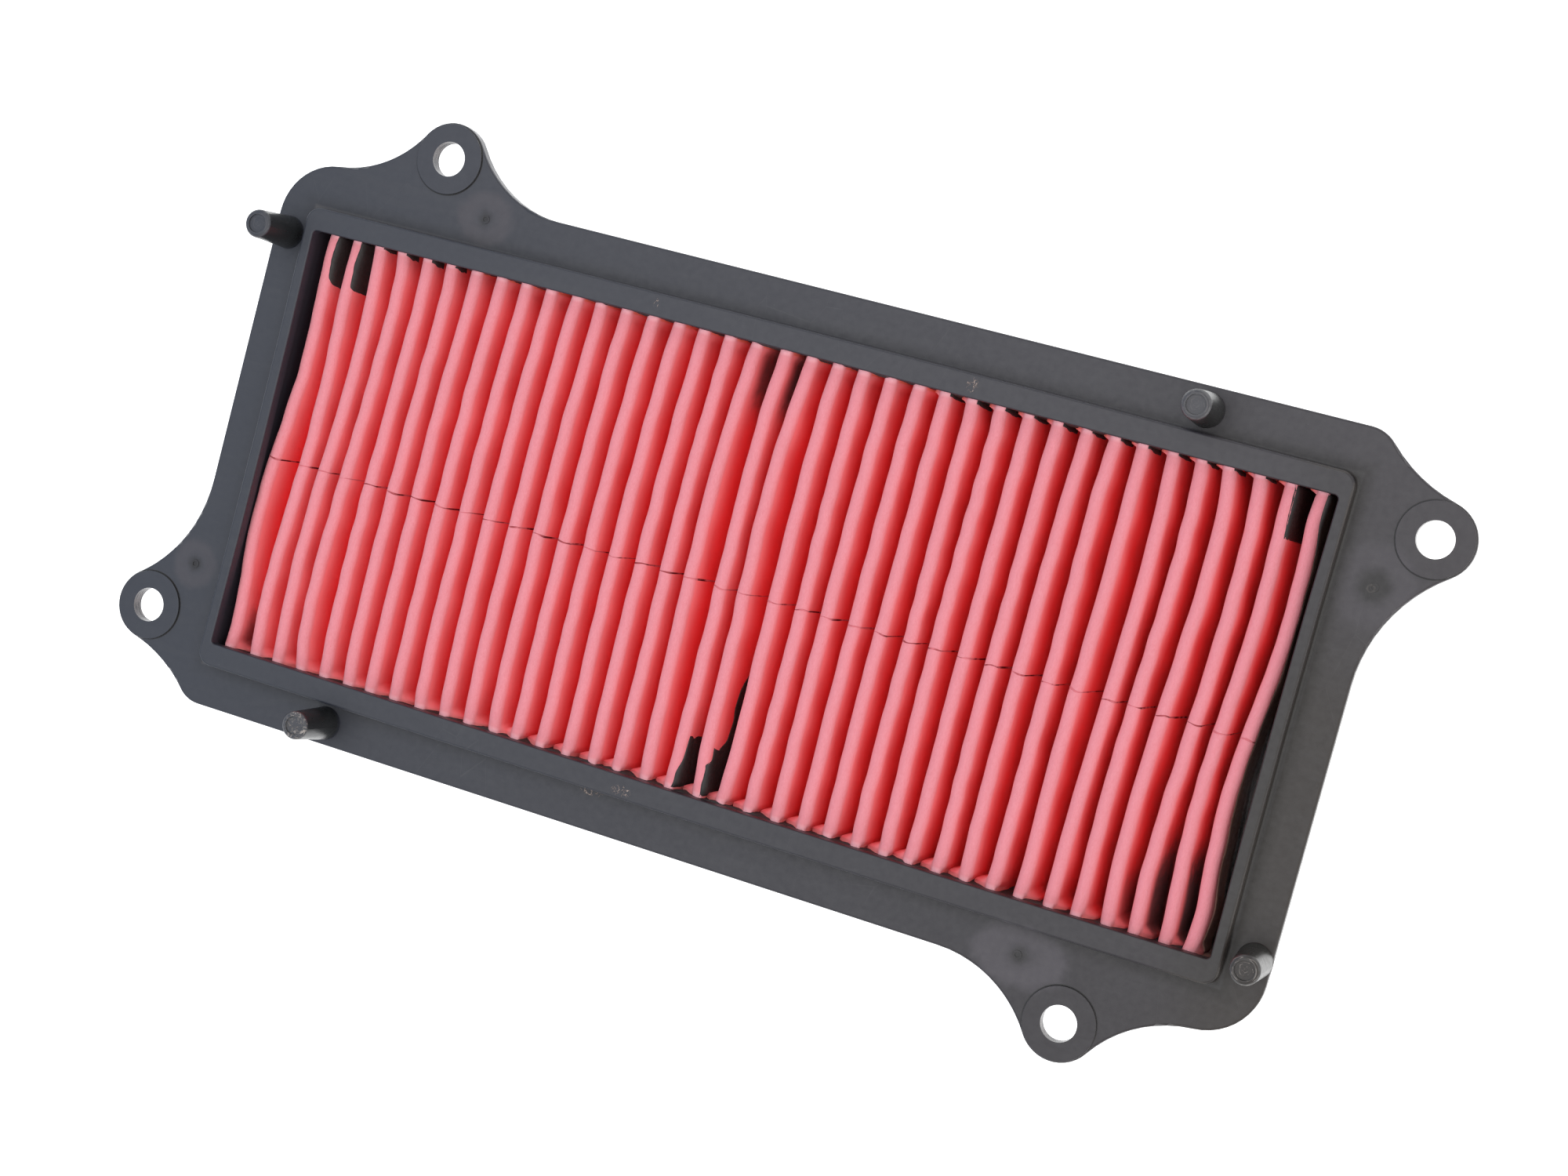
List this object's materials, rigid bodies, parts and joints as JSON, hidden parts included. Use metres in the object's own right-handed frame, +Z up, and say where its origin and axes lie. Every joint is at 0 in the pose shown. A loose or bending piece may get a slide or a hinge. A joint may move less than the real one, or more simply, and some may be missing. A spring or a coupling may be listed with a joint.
{
  "type": "motorcycle panel air filter",
  "caption": "Flat panel air filter: pleated red filter sheet in a black moulded frame with screw ears, locating pins, a raised sealing rim and a shallow box behind.",
  "frame": {"origin": "centre of the box in plan, on the plane of its open lower edge", "axes": "+X along the long side, +Y across the folds' length towards the rear ear, +Z up out of the flange along the locating pins"},
  "size_m": [0.248, 0.1348, 0.0364],
  "materials": {
    "frame_plastic": "satin, fine spark texture",
    "media_red": "non-woven, slightly fuzzy",
    "compound_black": "satin",
    "thread_dark": "dull",
    "seal_rubber": "matte foam skin"
  },
  "bodies": {
    "root": {"frame_body": "frame_plastic", "filter_media": "media_red", "potting_front": "compound_black", "potting_rear": "compound_black", "side_seal_left": "compound_black", "side_seal_right": "compound_black", "separator_thread_top": "thread_dark", "separator_thread_bottom": "thread_dark", "compound_overflow": "compound_black", "flange_gasket": "seal_rubber"}
  },
  "joints": []
}
